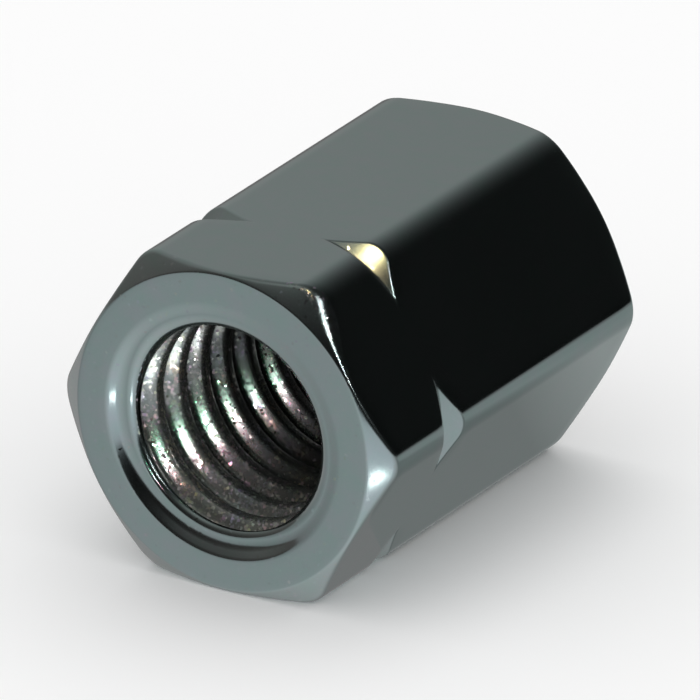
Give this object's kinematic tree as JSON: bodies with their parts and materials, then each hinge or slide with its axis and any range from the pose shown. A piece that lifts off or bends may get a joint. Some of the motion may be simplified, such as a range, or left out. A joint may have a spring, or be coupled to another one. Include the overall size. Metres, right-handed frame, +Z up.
{
  "type": "standoff nut",
  "caption": "Long hexagonal standoff nut, threaded right through, with dished mouths and short lead-ins, chamfered ends and a groove round its edges near one end.",
  "frame": {"origin": "middle of the footprint, on the flat that the nut lies on", "axes": "+Y runs along the bore, from the grooved end to the plain end. +Z points up, out of the top flat. +X points to an edge of the hexagon."},
  "size_m": [0.009, 0.0114, 0.008],
  "materials": {
    "plated_steel": "bright grey plating over turned steel, smooth and mirror-like, a little dulled"
  },
  "bodies": {
    "root": {"standoff_nut": "plated_steel"}
  },
  "joints": []
}
